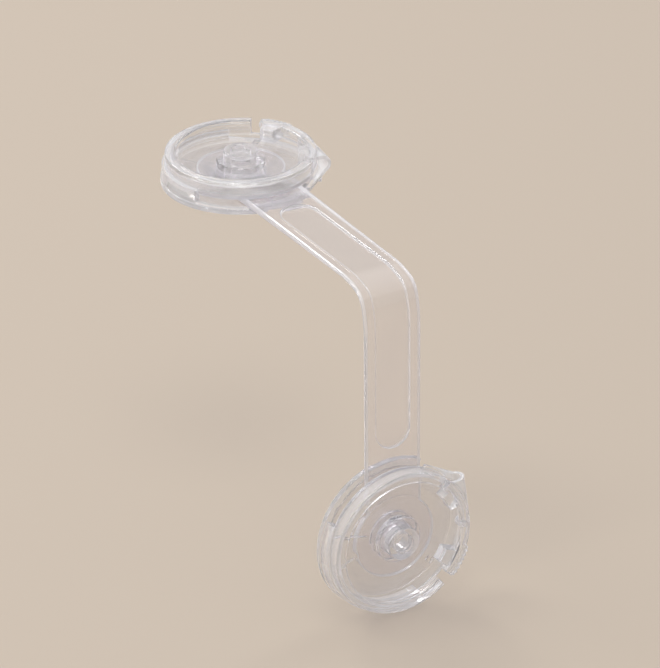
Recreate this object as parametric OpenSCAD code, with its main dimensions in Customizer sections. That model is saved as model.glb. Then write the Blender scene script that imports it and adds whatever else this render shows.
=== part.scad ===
// Clear cabinet safety lock: two stick-on heads joined by a strap that bends over a cabinet's front edge.
// The origin is the centre of the upper pad's underside. The upper head stands along +Z and its strap
// leaves towards -Y. The lower head is the mirror image of the upper one and faces -Y.

/* [Placement] */
// Distance from the upper head's axis to the cabinet's front face
upper_reach = 71.5; // [60:0.5:100]
// Distance from the lower head's axis to the cabinet's top face
lower_reach = 67; // [60:0.5:100]

/* [Base] */
// Radius of the mount plate
plate_r = 20.6; // [20:0.2:24]
// Thickness of the mount plate
plate_t = 1.4; // [1.3:0.1:2.4]
// Rounding of the mount plate's top edge
plate_round = 0.3; // [0.1:0.05:0.35]
// Thickness of the adhesive pad
pad_t = 0.6; // [0.5:0.05:1.2]
// How far the pad's edge stays inside the plate's edge
pad_inset = 2.7; // [2.6:0.1:3.6]
// Radial thickness of the claw wall
claw_wall = 0.7; // [0.6:0.05:1]
// How far the claw's lip reaches over the housing
lip_hold = 0.4; // [0.3:0.05:0.5]
// Height of the claw's lip
lip_t = 0.7; // [0.5:0.05:1]
// Width of the ledge that the housing rests on
ledge_w = 2.2; // [1.5:0.1:2.6]

/* [Housing] */
// Thickness of the housing floor
floor_t = 1; // [0.9:0.1:1.4]
// Height of the ring above the floor
ring_h = 3.9; // [3.7:0.1:5]
// Thickness of the ring wall
ring_wall = 1.5; // [1.2:0.1:1.8]
// Width of the rim at the top of the ring
rim_w = 2.8; // [2.4:0.1:3.2]
// Height of the rim
rim_t = 1.5; // [1.2:0.1:1.8]
// Rounding of the rim's corners
rim_round = 0.45; // [0.2:0.05:0.55]
// Radius of the boss that holds the stud
boss_r = 6.3; // [6:0.1:7]
// Height of the boss above the floor
boss_h = 1.5; // [1:0.1:2]

/* [Stud] */
// Outer radius of the hollow stud
stud_r = 4.45; // [4:0.05:4.8]
// Radius of the stud's hollow
stud_core_r = 2.6; // [2.2:0.1:3]
// Thickness of the stud's bottom flange
flange_t = 0.8; // [0.6:0.05:0.8]

/* [Strap] */
// Width of the strap
strap_w = 16; // [14:0.5:17]
// Thickness of the strap
strap_t = 1.2; // [1:0.1:1.4]
// Radius of the round eye at each end of the strap
eye_r = 11.3; // [10:0.1:12]
// Thickness of the round eye
eye_t = 1.4; // [1.4:0.1:1.8]
// Width of the sunk panel along the strap
panel_w = 9.5; // [7:0.5:11]
// Depth of the sunk panel
panel_depth = 0.45; // [0.2:0.05:0.6]
// Distance from a head's axis to the nearest point of the sunk panel
panel_start = 25; // [24:0.5:32]
// Mid radius of the gentle shoulders on both sides of the bend
shoulder_r = 24; // [16:1:26]

/* [Release lever] */
// Angle that the lever's wall covers towards the thumb pad, in degrees
thumb_deg = 44; // [40:1:46]
// Angle that the lever's wall covers towards the hook, in degrees
hook_deg = 45.5; // [42:0.5:47]
// Radius of the pivot post
post_r = 0.6; // [0.5:0.05:0.75]
// Radius of the lever's hub round the pivot post
hub_r = 1.2; // [1.1:0.05:1.4]
// Outer radius of the spring loop's round back
loop_r = 2.4; // [2.3:0.05:2.5]
// Thickness of the loop's band
loop_t = 0.95; // [0.8:0.05:1.05]
// Length of the loop along the lever
loop_l = 9.8; // [9:0.1:10]
// Number of ridges on the thumb pad
ridge_count = 6; // [4:1:7]

/* [Hidden] */
$fn = 96;
// Running and seating clearances
seat_gap = 0.1;
press_gap = 0.02;
turn_gap = 0.08;
strap_gap = 0.3;
eye_gap = 0.2;
lever_gap = 0.3;
edge_gap = 0.05;
// Overrun of every cut
over = 0.5;

// Heights above the surface that a head is stuck to
plate_top = pad_t + plate_t;
strap_z = plate_top + strap_gap;
strap_mid = strap_z + strap_t / 2;
floor_z = strap_z + eye_t + eye_gap;
floor_top = floor_z + floor_t;
rim_top = floor_top + ring_h;

// Radii of the base and the housing, from the outside in
pad_r = plate_r - pad_inset;
claw_step = 0.4;
claw_out_r = plate_r - claw_step;
claw_in_r = claw_out_r - claw_wall;
ring_r = claw_in_r - seat_gap;
lip_r = ring_r - lip_hold;
groove_r = lip_r - seat_gap;
foot_step = 0.6;
floor_r = ring_r - foot_step;
rim_in_r = ring_r - rim_w;

// The claw holds the housing's heel on the side that faces away from the hook
claw_from_deg = 70;
claw_to_deg = 205;
heel_t = 0.8;
lip_z = floor_z + heel_t + seat_gap;
claw_top = lip_z + lip_t;

// The ring's outside has a foot band, a waist and the rim's bead
waist_depth = 0.25;
foot_h = 0.75;
waist_top = rim_top - rim_t;

// Stud, and the spigot of the plate inside it
recess_floor = pad_t + 0.43 * plate_t;
flange_r = boss_r;
stud_z = recess_floor + seat_gap;
stud_top = rim_top + seat_gap;
dish_depth = 0.9;
stud_web = 0.7;
stud_round = 0.35;
spigot_r = stud_core_r - seat_gap;
spigot_head_gap = 0.4;
boss_chamfer = 0.3;

// Bend of the strap: two gentle shoulders and a tight middle that just clears the cabinet's edge
shoulder_deg = 18;
corner_deg = 45;
bend_rise = strap_mid - (strap_t / 2 + edge_gap) / sqrt(2);
shoulder_rise = shoulder_r * (1 - cos(shoulder_deg));
bend_r = (bend_rise - shoulder_rise) / (cos(shoulder_deg) - cos(corner_deg));
bend_run = shoulder_r * sin(shoulder_deg) + bend_r * (sin(corner_deg) - sin(shoulder_deg));
bend_tangent = bend_run + bend_rise;
front_y = -upper_reach - strap_mid;
bend_start_y = front_y + bend_tangent;
bend_end_z = strap_mid - bend_tangent;
corner_centre = [
    bend_start_y - (shoulder_r - bend_r) * sin(shoulder_deg),
    strap_mid - shoulder_r + (shoulder_r - bend_r) * cos(shoulder_deg)
];
shoulder_steps = 6;
corner_steps = 14;

// Release lever: places round the ring, in degrees from the lever's middle
lever_z = floor_top + lever_gap;
pivot_r = ring_r - hub_r - seat_gap;
hook_slit_deg = 5;
thumb_slit_deg = 8;
thumb_block_deg = [23, 39];
thumb_block_in = 3.2;
hook_block_deg = [-40, -22];
hook_block_in = 1.8;
pad_deg = [19, 43];
pad_proud = 0.7;
pad_rise = 0.4;
ridge_r = 0.35;
loop_deg = -8;
loop_from = 1;
loop_out = 1;
loop_in = 2.4;
loop_drop = 0.35;
loop_gap = 0.25;
loop_root = 3;
foot_deg = -54;
leg_t = 0.9;
leg_w = 1.8;
leg_gap = 0.25;
leg_step = 0.1;
barb_reach = 0.85;
barb_t = 0.35;
notch_deg = [-64, -36];
notch_r = ring_r - 1.35;
catch_deg = [-60, -48];
catch_depth = 1.1;
catch_roof = 0.7;
post_bead = 0.15;
post_bead_h = 0.5;
hub_roof = 0.8;
hub_foot = 0.15;

// Square slot through the housing floor beside the thumb block
slot_at_deg = 43.5;
slot_at_r = 13.6;
slot_w = 1.6;
slot_l = 2;

clear_tint = [0.86, 0.87, 0.92, 0.45];
pad_tint = [0.84, 0.84, 0.86, 0.6];

// Puts a head, modelled at the origin, on the cabinet's front face as its mirror image
module on_front_face() {
    translate([0, -upper_reach, -lower_reach]) mirror([0, 1, 1]) children();
}

// Part of a ring between two angles, from the same outline as the whole ring
module sector(from_deg, to_deg) {
    rotate([0, 0, from_deg]) rotate_extrude(angle = to_deg - from_deg) children();
}

// Rectangle with all four corners rounded
module round_rect(w, h, r) {
    translate([r, 0]) square([w - 2 * r, h]);
    translate([0, r]) square([w, h - 2 * r]);
    for (x = [r, w - r]) {
        for (y = [r, h - r]) {
            translate([x, y]) circle(r = r);
        }
    }
}

// Adhesive pad
module adhesive_pad() {
    cylinder(r = pad_r, h = pad_t);
}

// Outline of the mount plate: a disc with a rounded top edge
module plate_outline() {
    translate([0, pad_t]) {
        square([plate_r - plate_round, plate_t]);
        square([plate_r, plate_t - plate_round]);
        translate([plate_r - plate_round, plate_t - plate_round]) circle(r = plate_round);
    }
}

// Outline of the claw: a ledge under the housing's heel, a wall behind it and a lip over it
module claw_outline() {
    sunk = plate_t / 2;
    translate([claw_out_r - ledge_w, plate_top - sunk]) square([ledge_w, floor_z - plate_top + sunk]);
    translate([claw_in_r, plate_top - sunk]) square([claw_wall, claw_top - plate_top + sunk]);
    translate([lip_r, lip_z]) square([claw_out_r - lip_r, lip_t]);
}

// Spigot that centres the stud on the plate
module spigot() {
    spigot_top = stud_top - dish_depth - stud_web - spigot_head_gap;
    spigot_round = spigot_r / 4;
    rotate_extrude() {
        translate([0, recess_floor - plate_t / 4]) {
            square([spigot_r - spigot_round, spigot_top - recess_floor + plate_t / 4]);
            square([spigot_r, spigot_top - recess_floor + plate_t / 4 - spigot_round]);
        }
        translate([spigot_r - spigot_round, spigot_top - spigot_round]) circle(r = spigot_round);
    }
}

// Mount plate with its claw and its spigot, a notch for the lever's leg and the pocket its hook catches in
module mount_plate() {
    difference() {
        union() {
            rotate_extrude() plate_outline();
            sector(claw_from_deg, claw_to_deg) claw_outline();
        }
        translate([0, 0, recess_floor]) cylinder(r = flange_r + lever_gap, h = plate_t);
        sector(notch_deg[0], notch_deg[1]) {
            translate([notch_r, pad_t - over]) square([plate_r, plate_t + 2 * over]);
        }
        sector(catch_deg[0], catch_deg[1]) {
            translate([notch_r - catch_depth, pad_t - over]) {
                square([catch_depth + over, plate_t - catch_roof + over]);
            }
        }
    }
    spigot();
}

// Hollow stud: its flange carries the strap's eye and its tube is pressed into the housing's boss
module pivot_stud() {
    stud_h = stud_top - stud_z;
    difference() {
        rotate_extrude() {
            translate([0, stud_z]) {
                square([flange_r, flange_t]);
                square([stud_r - stud_round, stud_h]);
                square([stud_r, stud_h - stud_round]);
            }
            translate([stud_r - stud_round, stud_top - stud_round]) circle(r = stud_round);
        }
        translate([0, 0, stud_z - over]) {
            cylinder(r = stud_core_r, h = stud_h - dish_depth - stud_web + over);
        }
        translate([0, 0, stud_top - dish_depth]) cylinder(r = stud_core_r, h = dish_depth + over);
    }
}

// Outline of the ring wall from a given height up: foot band, waist and rounded rim
module ring_outline(from_z) {
    foot_top = floor_top + foot_h;
    wall_h = rim_top - from_z - rim_round;
    translate([ring_r - ring_wall, from_z]) square([ring_wall - waist_depth, wall_h]);
    translate([ring_r - ring_wall, from_z]) square([ring_wall, foot_top - from_z]);
    translate([rim_in_r, waist_top]) round_rect(rim_w, rim_t, rim_round);
}

// Boss of the housing, with a chamfered top
module boss() {
    rotate_extrude() {
        translate([0, floor_z]) {
            polygon([
                [0, 0],
                [boss_r, 0],
                [boss_r, floor_t + boss_h - boss_chamfer],
                [boss_r - boss_chamfer, floor_t + boss_h],
                [0, floor_t + boss_h]
            ]);
        }
    }
}

// Post that the lever turns on, with a snap bead near its top
module pivot_post() {
    post_top = rim_top - hub_roof - lever_gap;
    translate([pivot_r, 0, 0]) {
        translate([0, 0, floor_top - floor_t / 2]) {
            cylinder(r = post_r, h = post_top - floor_top + floor_t / 2);
        }
        translate([0, 0, post_top - 2 * post_bead_h]) cylinder(r = post_r + post_bead, h = post_bead_h);
    }
}

// Cup-shaped housing: floor, ring with the lever's gap, boss, heel under the claw and pivot post
module housing() {
    difference() {
        union() {
            translate([0, 0, floor_z]) cylinder(r = floor_r, h = floor_t);
            sector(thumb_deg + thumb_slit_deg, 360 - hook_deg - hook_slit_deg) {
                ring_outline(floor_top - floor_t / 2);
            }
            boss();
            sector(claw_from_deg, claw_to_deg) {
                translate([ring_r - ring_wall, floor_z]) square([ring_wall, heel_t]);
            }
        }
        translate([0, 0, floor_z - over]) cylinder(r = stud_r + press_gap, h = floor_t + boss_h + 2 * over);
        sector(claw_from_deg - 1, claw_to_deg + 1) {
            translate([groove_r, floor_z + heel_t]) square([ring_r, lip_t + 2 * seat_gap]);
        }
        rotate([0, 0, slot_at_deg]) translate([slot_at_r - slot_l / 2, -slot_w / 2, floor_z - over]) {
            cube([slot_l, slot_w, floor_t + 2 * over]);
        }
    }
    pivot_post();
}

// Ridged pad that the thumb presses
module thumb_pad() {
    pad_h = rim_top - lever_z - 2 * pad_rise;
    ridge_step = (pad_deg[1] - pad_deg[0]) / (ridge_count + 1);
    sector(pad_deg[0], pad_deg[1]) {
        translate([ring_r - ring_wall, lever_z + pad_rise]) square([ring_wall + pad_proud, pad_h]);
    }
    for (i = [1 : ridge_count]) {
        rotate([0, 0, pad_deg[0] + i * ridge_step]) translate([ring_r + pad_proud, 0, lever_z + pad_rise]) {
            cylinder(r = ridge_r, h = pad_h);
        }
    }
}

// Half of a disc or of a ring, on the side that faces away from the lever
module round_back(outer_r, inner_r) {
    difference() {
        circle(r = outer_r);
        if (inner_r > 0) circle(r = inner_r);
        translate([-outer_r - over, -outer_r - over]) square([outer_r + over, 2 * outer_r + 2 * over]);
    }
}

// Spring loop: a wide band that hangs from the rim, runs straight on from the lever's middle and so stands
// off at its end. It is closed at its root, and cut free of the housing's floor.
module spring_loop() {
    centre = [ring_r + loop_out - loop_r, rim_top - loop_drop - loop_r];
    difference() {
        rotate([0, 0, loop_deg]) rotate([90, 0, 0]) {
            translate([0, 0, loop_from]) linear_extrude(loop_l) {
                translate(centre) round_back(loop_r, loop_r - loop_t);
                translate([centre[0] - loop_in, centre[1] + loop_r - loop_t]) square([loop_in, loop_t]);
            }
            translate([0, 0, loop_from + leg_step]) linear_extrude(loop_root) {
                translate(centre) round_back(loop_r - loop_t / 2, 0);
            }
        }
        cylinder(r = ring_r + loop_gap, h = lever_z + 2 * leg_step);
        cylinder(r = rim_in_r + 4 * leg_step, h = rim_top);
    }
}

// Slanting leg from the loop's end down into the plate's notch, with the hook's barb at its foot
module hook_leg() {
    foot_z = pad_t + (plate_t - catch_roof - barb_t) / 2;
    loop_z = rim_top - loop_drop - 2 * loop_r;
    hull() {
        rotate([0, 0, loop_deg]) translate([ring_r + loop_out - loop_r, -loop_from - loop_l, loop_z]) {
            translate([leg_step, leg_step, leg_step]) cube([leg_t, leg_w, loop_t - 2 * leg_step]);
        }
        rotate([0, 0, foot_deg]) translate([notch_r + leg_gap, -leg_w / 2, foot_z]) {
            cube([leg_t, leg_w, leg_t]);
        }
    }
    rotate([0, 0, foot_deg]) {
        translate([notch_r + leg_gap - barb_reach, leg_step - leg_w / 2, foot_z + leg_step / 2]) {
            cube([barb_reach + leg_t / 2, leg_w - 2 * leg_step, barb_t]);
        }
    }
}

// Release lever: a piece of the ring that rocks on the post, thumb pad at one end and hook at the other
module release_lever() {
    block_h = rim_top - lever_z;
    bore_h = rim_top - hub_roof - lever_z;
    difference() {
        union() {
            sector(-hook_deg, thumb_deg) ring_outline(lever_z);
            sector(thumb_block_deg[0], thumb_block_deg[1]) {
                translate([rim_in_r - thumb_block_in, lever_z]) {
                    round_rect(rim_w + thumb_block_in / 2, block_h, rim_round);
                }
            }
            sector(hook_block_deg[0], hook_block_deg[1]) {
                translate([rim_in_r - hook_block_in, lever_z]) round_rect(rim_w, block_h, rim_round);
            }
            translate([pivot_r, 0, lever_z - hub_foot]) {
                cylinder(r = hub_r, h = block_h - rim_t / 2 + hub_foot);
            }
            thumb_pad();
            spring_loop();
        }
        translate([pivot_r, 0, lever_z - over]) cylinder(r = post_r + turn_gap, h = bore_h + over);
        translate([pivot_r, 0, rim_top - hub_roof - lever_gap - 2 * post_bead_h - turn_gap]) {
            cylinder(r = post_r + post_bead + turn_gap, h = post_bead_h + 2 * turn_gap);
        }
    }
    hook_leg();
}

// Points along one arc of the strap's mid line, each with its heading: zero on top, ninety at the front
function arc_path(centre, r, from_deg, to_deg, steps) = [
    for (i = [1 : steps]) let (a = from_deg + (to_deg - from_deg) * i / steps)
        [centre[0] - r * sin(a), centre[1] + r * cos(a), a]
];

// Mid line of the bend, as [y, z, heading]
function bend_path() = concat(
    [[bend_start_y, strap_mid, 0]],
    arc_path([bend_start_y, strap_mid - shoulder_r], shoulder_r, 0, shoulder_deg, shoulder_steps),
    arc_path(corner_centre, bend_r, shoulder_deg, 90 - shoulder_deg, corner_steps),
    arc_path([front_y + shoulder_r, bend_end_z], shoulder_r, 90 - shoulder_deg, 90, shoulder_steps)
);

// The mid line between a distance before the bend on top and a height at the front, moved outwards
function strap_side(from_y, to_z, out) = [
    for (p = concat([[from_y, strap_mid, 0]], bend_path(), [[front_y, to_z, 90]]))
        [p[0] - out * sin(p[2]), p[1] + out * cos(p[2])]
];

// Band along the strap between two surfaces, centred on its width
module strap_band(from_y, to_z, inner, outer, w) {
    back = strap_side(from_y, to_z, inner);
    rotate([90, 0, 90]) translate([0, 0, -w / 2]) linear_extrude(w) {
        polygon(concat(strap_side(from_y, to_z, outer), [for (i = [len(back) - 1 : -1 : 0]) back[i]]));
    }
}

// Round eye round the stud
module strap_eye() {
    translate([0, 0, strap_z]) cylinder(r = eye_r, h = eye_t);
}

// Bore of the eye, and the round end of the sunk panel
module strap_end_cuts() {
    translate([0, 0, strap_z - over]) cylinder(r = stud_r + turn_gap, h = eye_t + 2 * over);
    translate([0, -panel_start - panel_w / 2, strap_z + strap_t - panel_depth]) {
        cylinder(r = panel_w / 2, h = panel_depth + over);
    }
}

// Strap: two eyes, two straight runs, and the bend over the cabinet's edge
module strap_body() {
    panel_inset = panel_start + panel_w / 2;
    panel_floor = strap_t / 2 - panel_depth;
    difference() {
        union() {
            strap_band(0, -lower_reach, -strap_t / 2, strap_t / 2, strap_w);
            strap_eye();
            on_front_face() strap_eye();
        }
        strap_end_cuts();
        on_front_face() strap_end_cuts();
        strap_band(-panel_inset, panel_inset - lower_reach, panel_floor, strap_t / 2 + over, panel_w);
    }
}

module upper_adhesive_pad() {
    color(pad_tint) adhesive_pad();
}

module upper_mount_plate() {
    color(clear_tint) mount_plate();
}

module upper_pivot_stud() {
    color(clear_tint) pivot_stud();
}

module upper_housing() {
    color(clear_tint) housing();
}

module upper_release_lever() {
    color(clear_tint) release_lever();
}

module strap() {
    color(clear_tint) strap_body();
}

module lower_adhesive_pad() {
    color(pad_tint) on_front_face() adhesive_pad();
}

module lower_mount_plate() {
    color(clear_tint) on_front_face() mount_plate();
}

module lower_pivot_stud() {
    color(clear_tint) on_front_face() pivot_stud();
}

module lower_housing() {
    color(clear_tint) on_front_face() housing();
}

module lower_release_lever() {
    color(clear_tint) on_front_face() release_lever();
}

upper_adhesive_pad();
upper_mount_plate();
upper_pivot_stud();
upper_housing();
upper_release_lever();
strap();
lower_adhesive_pad();
lower_mount_plate();
lower_pivot_stud();
lower_housing();
lower_release_lever();
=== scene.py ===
import math

import bmesh
import bpy
from mathutils import Matrix, Vector


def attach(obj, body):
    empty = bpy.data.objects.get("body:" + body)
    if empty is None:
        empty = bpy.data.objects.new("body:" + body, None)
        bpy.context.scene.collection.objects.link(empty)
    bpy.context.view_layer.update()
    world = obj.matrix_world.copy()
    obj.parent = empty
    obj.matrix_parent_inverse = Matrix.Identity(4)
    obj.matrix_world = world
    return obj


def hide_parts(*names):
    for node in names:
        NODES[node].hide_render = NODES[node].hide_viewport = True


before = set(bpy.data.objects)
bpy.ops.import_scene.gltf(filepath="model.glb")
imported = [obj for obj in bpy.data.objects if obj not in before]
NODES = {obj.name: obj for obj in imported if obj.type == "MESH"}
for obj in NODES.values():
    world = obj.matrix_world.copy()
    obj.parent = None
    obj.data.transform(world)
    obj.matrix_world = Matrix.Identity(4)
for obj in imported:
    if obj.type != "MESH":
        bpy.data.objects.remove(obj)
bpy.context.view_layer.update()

MM = 0.001

# Camera at the photograph's viewing angle
AZIMUTH, ELEVATION, ROLL = math.radians(-30.3), math.radians(27.8), math.radians(-0.41)
DISTANCE = 1.240
FOCAL_PX = 5080.0
AIM = Vector((0, -0.0715, 0))  # the corner inside the strap's bend
AIM_PX = (385.9, 291.1)  # where that corner lies in the picture
CENTRE_PX = (330.0, 334.0)
LONG_SIDE_PX = 668
SENSOR_MM = 36

back = Vector((
    math.sin(AZIMUTH) * math.cos(ELEVATION),
    -math.cos(AZIMUTH) * math.cos(ELEVATION),
    math.sin(ELEVATION),
))
right = Vector((math.cos(AZIMUTH), math.sin(AZIMUTH), 0))
up = back.cross(right)
right, up = (
    math.cos(ROLL) * right + math.sin(ROLL) * up,
    -math.sin(ROLL) * right + math.cos(ROLL) * up,
)
across, down = [(a - c) / FOCAL_PX for a, c in zip(AIM_PX, CENTRE_PX)]
place = AIM + back * DISTANCE - right * across * DISTANCE + up * down * DISTANCE
turn = Matrix((right, up, back)).transposed().to_4x4()
cam_data = bpy.data.cameras.new("camera")
cam_data.lens = FOCAL_PX / LONG_SIDE_PX * SENSOR_MM
cam_data.sensor_width = SENSOR_MM
cam_data.clip_start, cam_data.clip_end = 0.05, 60
cam = bpy.data.objects.new("camera", cam_data)
bpy.context.scene.collection.objects.link(cam)
cam.matrix_world = Matrix.Translation(place) @ turn
bpy.context.scene.camera = cam


# Node helpers
def node(tree, kind, inputs=None, **settings):
    """A new node. Each input takes a plain value, or the socket that feeds it."""
    n = tree.nodes.new(kind)
    for key, value in settings.items():
        setattr(n, key, value)
    for key, value in (inputs or {}).items():
        if isinstance(value, bpy.types.NodeSocket):
            tree.links.new(value, n.inputs[key])
        else:
            n.inputs[key].default_value = value
    return n


def maths(tree, operation, *inputs):
    n = node(tree, "ShaderNodeMath", dict(enumerate(inputs)), operation=operation)
    return n.outputs["Value"]


def noise(tree, vector, scale, detail):
    n = node(tree, "ShaderNodeTexNoise", {"Vector": vector, "Scale": scale, "Detail": detail})
    return n.outputs["Fac"]


def ramp(tree, amount, first, second, *others):
    """A colour that changes with the amount. Each stop is a position and a colour."""
    n = node(tree, "ShaderNodeValToRGB", {"Fac": amount})
    points = n.color_ramp.elements
    points[0].position, points[0].color = first
    points[1].position, points[1].color = second
    for position, colour in others:
        points.new(position).color = colour
    return n.outputs["Color"]


def map_range(tree, value, source, target):
    """The value, carried from the source range to the target range."""
    ends = dict(zip(("From Min", "From Max", "To Min", "To Max"), (*source, *target)))
    return node(tree, "ShaderNodeMapRange", {"Value": value, **ends}).outputs["Result"]


def bump(tree, height, distance, **under):
    values = {"Strength": 1, "Distance": distance, "Height": height, **under}
    return node(tree, "ShaderNodeBump", values).outputs["Normal"]


def mix_shaders(tree, share, first, second):
    return node(tree, "ShaderNodeMixShader", {0: share, 1: first, 2: second}).outputs["Shader"]


# Clear plastics
IOR = 1.49
CLOUD_SCALE, CLOUD_RANGE = 90, (0.35, 0.7)
STREAK_SCALE, STREAK_RANGE = 260, (0.45, 0.8)
STREAK_STRETCH, STREAK_TURN = (1, 14, 1), (0.3, 0.2, 0.6)
FLOW_SCALE = 160
GRAIN_SHARE = 60  # the flow waves are this many times as high as the grain
BLOOM_ROUGHNESS, BLOOM_TINT = 0.3, (0.93, 0.91, 1, 1)
LONGEST_PATH = 16  # bounces after which a ray is let straight out
LET_THROUGH = (0.93, 0.93, 0.94, 1)


def clear_plastic(name, tint, deep, rough, grain, wave, haze, bloom):
    """Moulded clear plastic: a faint tint that varies, flow waves, and fine scuffs.

    Haze is the share of light that scatters, where cloud_up doesn't vary it over the piece.
    Bloom is the milky look of moulded edges at a grazing angle.
    """
    mat = bpy.data.materials.new(name)
    mat.use_nodes = True
    tree = mat.node_tree
    tree.nodes.clear()
    place = node(tree, "ShaderNodeTexCoord").outputs["Object"]

    cloud = noise(tree, place, CLOUD_SCALE, 3)
    low_end, high_end = CLOUD_RANGE
    colour = ramp(tree, cloud, (low_end, (*deep, 1)), (high_end, (*tint, 1)))

    # scuffs: long thin streaks in the roughness
    stretch = {"Vector": place, "Scale": STREAK_STRETCH, "Rotation": STREAK_TURN}
    along_streaks = node(tree, "ShaderNodeMapping", stretch).outputs["Vector"]
    streak = noise(tree, along_streaks, STREAK_SCALE, 4)

    # flow waves of the moulding, and a much finer grain
    waves = bump(tree, noise(tree, place, FLOW_SCALE, 1.5), wave)
    relief = bump(tree, noise(tree, place, grain, 2), wave / GRAIN_SHARE, Normal=waves)

    body = node(tree, "ShaderNodeBsdfPrincipled", {
        "Base Color": colour,
        "Roughness": map_range(tree, streak, STREAK_RANGE, rough),
        "Normal": relief,
        "IOR": IOR,
        "Transmission Weight": 1 - haze,
        "Sheen Weight": bloom,
        "Sheen Roughness": BLOOM_ROUGHNESS,
        "Sheen Tint": BLOOM_TINT,
    })

    # lamps reach what is behind the plastic, and light that is caught inside it gets out
    path = node(tree, "ShaderNodeLightPath").outputs
    caught = maths(tree, "GREATER_THAN", path["Ray Depth"], LONGEST_PATH)
    lit = maths(tree, "MAXIMUM", path["Is Shadow Ray"], path["Is Diffuse Ray"])
    straight = node(tree, "ShaderNodeBsdfTransparent", {"Color": LET_THROUGH})
    surface = mix_shaders(
        tree, maths(tree, "MAXIMUM", lit, caught), body.outputs["BSDF"], straight.outputs["BSDF"]
    )
    node(tree, "ShaderNodeOutputMaterial", {"Surface": surface})
    return mat


# Grain is a noise scale and wave a height in metres
MATS = {
    "clear_housing": clear_plastic(
        "clear_housing", tint=(0.998, 0.998, 0.999), deep=(0.985, 0.986, 0.992),
        rough=(0.01, 0.1), grain=2600, wave=0.00004, haze=0.05, bloom=0.9,
    ),
    "clear_plate": clear_plastic(
        "clear_plate", tint=(0.998, 0.998, 0.999), deep=(0.982, 0.984, 0.99),
        rough=(0.01, 0.12), grain=2200, wave=0.00005, haze=0.05, bloom=1,
    ),
    "clear_stud": clear_plastic(
        "clear_stud", tint=(0.996, 0.996, 0.998), deep=(0.98, 0.98, 0.988),
        rough=(0.02, 0.1), grain=2400, wave=0.00005, haze=0.13, bloom=1,
    ),
    "clear_lever": clear_plastic(
        "clear_lever", tint=(0.998, 0.998, 0.999), deep=(0.984, 0.985, 0.992),
        rough=(0.02, 0.12), grain=2600, wave=0.00004, haze=0.15, bloom=1,
    ),
    "clear_strap": clear_plastic(
        "clear_strap", tint=(0.985, 0.972, 0.985), deep=(0.965, 0.95, 0.972),
        rough=(0.02, 0.12), grain=2000, wave=0.00005, haze=0.06, bloom=0.5,
    ),
    "adhesive_gel": clear_plastic(
        "adhesive_gel", tint=(0.915, 0.91, 0.925), deep=(0.885, 0.88, 0.9),
        rough=(0.04, 0.14), grain=1200, wave=0.00006, haze=0.03, bloom=0,
    ),
}

# Milky rims and frosted edges: places in metres, bands as shares of the strap's whole width
STRAP_HALF = 0.008
LOWER_AXIS = 0.067
PANEL_END = 0.02975
SIDE_BAND = (0.445, 0.46, 0.52, 0.53)
BRIM_BAND = (0.283, 0.29, 0.307, 0.314)
EYE_BAND = (0.675, 0.688, 0.72, 0.73)
BRIM_FROST = 0.7  # as a share of the frost on the sides
BLACK, WHITE = (0, 0, 0, 1), (1, 1, 1, 1)


def distance_from(tree, x, y):
    squares = [maths(tree, "MULTIPLY", v, v) for v in (x, y)]
    return maths(tree, "SQRT", maths(tree, "ADD", *squares))


def across_and_along(tree):
    """How far a point is from the strap's middle line, and along it from the nearer head's axis."""
    place = node(tree, "ShaderNodeTexCoord").outputs["Object"]
    axes = node(tree, "ShaderNodeSeparateXYZ", {"Vector": place}).outputs
    top_run = maths(tree, "MULTIPLY", axes["Y"], -1)
    front_run = maths(tree, "ADD", axes["Z"], LOWER_AXIS)
    return maths(tree, "ABSOLUTE", axes["X"]), maths(tree, "MINIMUM", top_run, front_run)


def cloud_up(mat, amount, span, clear, milky):
    """Makes the plastic milkier as the amount crosses the span."""
    tree = mat.node_tree
    body = next(n for n in tree.nodes if n.type == "BSDF_PRINCIPLED")
    through = map_range(tree, amount, span, (1 - clear, 1 - milky))
    tree.links.new(through, body.inputs["Transmission Weight"])


def band(tree, distance, places):
    """One inside the band and nothing outside it, with a soft step at either side."""
    share = maths(tree, "DIVIDE", distance, 2 * STRAP_HALF)
    return ramp(tree, share, *zip(places, (BLACK, WHITE, WHITE, BLACK)))


def frost_strap(mat, clear, milky):
    """Frosts the strap's sides, the rims of its eyes and the brim of its sunk panel."""
    tree = mat.node_tree
    across, along = across_and_along(tree)
    past_end = maths(tree, "MAXIMUM", maths(tree, "SUBTRACT", PANEL_END, along), 0)
    brim = band(tree, distance_from(tree, across, past_end), BRIM_BAND)
    brim = maths(tree, "MULTIPLY", brim, BRIM_FROST)
    past_eye = maths(tree, "GREATER_THAN", along, STRAP_HALF)
    side = maths(tree, "MULTIPLY", band(tree, across, SIDE_BAND), past_eye)
    on_eye = maths(tree, "LESS_THAN", along, STRAP_HALF)
    eye = band(tree, distance_from(tree, across, along), EYE_BAND)
    eye = maths(tree, "MULTIPLY", eye, on_eye)
    amount = maths(tree, "MAXIMUM", brim, maths(tree, "MAXIMUM", side, eye))
    cloud_up(mat, amount, (0, 1), clear, milky)


def cloud_rim(mat, span, clear, milky):
    """Leaves a head clear inside the span of distances from its axis, and milkier outside it."""
    distance = distance_from(mat.node_tree, *across_and_along(mat.node_tree))
    cloud_up(mat, distance, span, clear, milky)


frost_strap(MATS["clear_strap"], clear=0.06, milky=0.5)
cloud_rim(MATS["clear_housing"], (0.0172, 0.0182), clear=0.03, milky=0.22)
cloud_rim(MATS["clear_plate"], (0.0175, 0.0185), clear=0.03, milky=0.24)
cloud_rim(MATS["clear_lever"], (0.0192, 0.0202), clear=0.17, milky=0.42)

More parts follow.
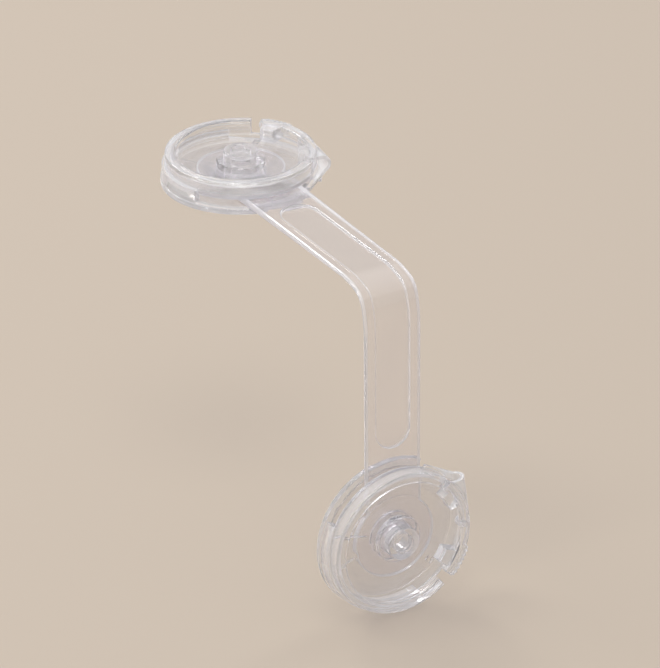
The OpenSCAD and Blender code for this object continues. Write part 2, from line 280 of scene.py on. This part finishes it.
# Pieces: lengths in metres, angles in radians
WELD = 2e-5  # corners closer than this are one corner before the rounding
SLIVER = 2e-7  # and closer than this after it
FLAT = math.radians(0.4)  # faces that differ by less are one face
ROUNDED = math.radians(32)  # edges sharper than this are rounded
CREASED = math.radians(40)  # edges sharper than this are shaded as edges
GAP_MM = 0.015  # each piece is this much smaller all round, so that no faces coincide
MOST_SHELL = 1.6  # the most times the gap that a corner moves
PANEL_SIDE = 4.8 * MM
PANEL_TOP_END, PANEL_LOW_END = -20 * MM, -47 * MM
BRIM_ROUNDING = 0.75


def add_bevel(obj, name, width, segments, method, clamp):
    mod = obj.modifiers.new(name, "BEVEL")
    mod.width = width
    mod.segments = segments
    mod.limit_method = method
    mod.angle_limit = ROUNDED
    mod.use_clamp_overlap = clamp


def dress(name, cad, body, slot, edge, share=None, soft=0):
    """A piece with the node's form, its edges rounded as a mould leaves them.

    Edge is the rounding's width in millimetres. Soft is that of a first, fuller rounding,
    of which each sharp edge takes the share that the share function gives.
    """
    mesh = NODES[cad].data.copy()
    mesh.name = name
    bm = bmesh.new()
    bm.from_mesh(mesh)
    bmesh.ops.remove_doubles(bm, verts=bm.verts, dist=WELD)
    bmesh.ops.dissolve_limit(bm, angle_limit=FLAT, verts=bm.verts, edges=bm.edges, delimit=set())
    bm.normal_update()
    for v, n in [(v, v.normal.copy()) for v in bm.verts]:
        v.co -= n * min(v.calc_shell_factor(), MOST_SHELL) * GAP_MM * MM
    if share is not None:
        weight = bm.edges.layers.float.new("bevel_weight_edge")
        for e in bm.edges:
            if e.calc_face_angle(0) > ROUNDED:
                e[weight] = share(e)
    bm.to_mesh(mesh)
    bm.free()
    mesh.materials.clear()
    mesh.materials.append(MATS[slot])
    for p in mesh.polygons:
        p.use_smooth = True
    mesh.set_sharp_from_angle(angle=CREASED)
    obj = bpy.data.objects.new(name, mesh)
    bpy.context.scene.collection.objects.link(obj)
    if share is not None:
        add_bevel(obj, "round_sides", soft * MM, 5, "WEIGHT", clamp=False)
    add_bevel(obj, "rounding", edge * MM, 2, "ANGLE", clamp=True)
    obj.modifiers.new("drop_slivers", "WELD").merge_threshold = SLIVER
    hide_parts(cad)
    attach(obj, body)


def strap_rounding(e):
    """All of the full rounding along the strap's sides, less round the sunk panel's brim."""
    near, far = sorted(abs(v.co.x) for v in e.verts)
    if near > STRAP_HALF - 0.05 * MM and far < STRAP_HALF + 0.02 * MM:
        return 1.0
    by_panel = all(v.co.y < PANEL_TOP_END and v.co.z > PANEL_LOW_END for v in e.verts)
    return BRIM_ROUNDING if by_panel and far < PANEL_SIDE and e.is_convex else 0.0


for side in ("upper", "lower"):
    head, lever = side + "_head", side + "_lever"
    dress(side + "_gel_pad", side + "_adhesive_pad", head, "adhesive_gel", 0.15)
    dress(side + "_claw_plate", side + "_mount_plate", head, "clear_plate", 0.12)
    dress(side + "_hollow_stud", side + "_pivot_stud", head, "clear_stud", 0.12)
    dress(side + "_cup_housing", side + "_housing", head, "clear_housing", 0.12)
    dress(side + "_rocker_lever", side + "_release_lever", lever, "clear_lever", 0.08)
dress("long_strap", "strap", "strap", "clear_strap", 0.12, share=strap_rounding, soft=0.55)

# Floor
FLOOR_Z = -0.0878
FLOOR_HALF = 8
floor_mesh = bpy.data.meshes.new("floor")
bm = bmesh.new()
bmesh.ops.create_grid(bm, x_segments=1, y_segments=1, size=FLOOR_HALF)
bm.to_mesh(floor_mesh)
bm.free()
floor = bpy.data.objects.new("floor", floor_mesh)
floor.location = (0, 0, FLOOR_Z)
bpy.context.scene.collection.objects.link(floor)
floor_mat = bpy.data.materials.new("floor")
floor_mat.use_nodes = True
floor_bsdf = floor_mat.node_tree.nodes["Principled BSDF"]
floor_bsdf.inputs["Base Color"].default_value = (0.595, 0.508, 0.42, 1)
floor_bsdf.inputs["Roughness"].default_value = 0.8
floor_bsdf.inputs["Specular IOR Level"].default_value = 0.2
floor_mesh.materials.append(floor_mat)

# World: a soft light for surfaces, and a pale sky for what is seen directly, mirrored or through
SOFT_LIGHT, SOFT_STRENGTH = (0.86, 0.87, 0.9, 1), 0.45
HORIZON, ZENITH = (0.5, (0.5, 0.485, 0.485, 1)), (0.68, (1, 0.99, 1, 1))
world = bpy.data.worlds.new("world")
bpy.context.scene.world = world
world.use_nodes = True
tree = world.node_tree
tree.nodes.clear()
soft = node(tree, "ShaderNodeBackground", {"Color": SOFT_LIGHT, "Strength": SOFT_STRENGTH})
place = node(tree, "ShaderNodeTexCoord").outputs["Generated"]
height = node(tree, "ShaderNodeSeparateXYZ", {"Vector": place}).outputs["Z"]
sky = node(tree, "ShaderNodeBackground", {"Color": ramp(tree, height, HORIZON, ZENITH)})
path = node(tree, "ShaderNodeLightPath").outputs
shown = maths(tree, "MAXIMUM", path["Is Camera Ray"], path["Is Glossy Ray"])
shown = maths(tree, "MAXIMUM", shown, path["Is Transmission Ray"])
surface = mix_shaders(tree, shown, soft.outputs["Background"], sky.outputs["Background"])
node(tree, "ShaderNodeOutputWorld", {"Surface": surface})

# Lamps: all look at the middle of the object
LAMPS_AIM = Vector((0, -0.04, -0.03))


def lamp(name, place, size, power, colour):
    data = bpy.data.lights.new(name, "AREA")
    data.shape = "RECTANGLE"
    data.size, data.size_y = size
    data.energy = power
    data.color = colour
    obj = bpy.data.objects.new(name, data)
    obj.location = place
    obj.rotation_euler = (LAMPS_AIM - Vector(place)).to_track_quat("-Z", "Y").to_euler()
    bpy.context.scene.collection.objects.link(obj)


lamp("key", (-0.2, -0.45, 1.2), (0.6, 0.6), 4.8, (1, 0.99, 0.97))
lamp("back", (-0.6, 0.5, 1.1), (0.35, 0.35), 4, (1, 0.99, 0.97))
lamp("rim", (0.05, 1, 0.84), (0.3, 0.25), 4, (1, 0.99, 0.99))
lamp("side", (1.1, 0.2, 0.6), (0.3, 0.6), 2.5, (0.97, 0.98, 1))
lamp("left", (-1.2, -0.3, 0.35), (0.3, 0.5), 3, (0.98, 0.97, 1))

# Light passes through many clear walls
CLEAR_BOUNCES = 36
scene = bpy.context.scene
scene.view_settings.view_transform = "Standard"
scene.cycles.max_bounces = CLEAR_BOUNCES
scene.cycles.transmission_bounces = CLEAR_BOUNCES
scene.cycles.transparent_max_bounces = 40
scene.cycles.glossy_bounces = CLEAR_BOUNCES
scene.cycles.diffuse_bounces = 3
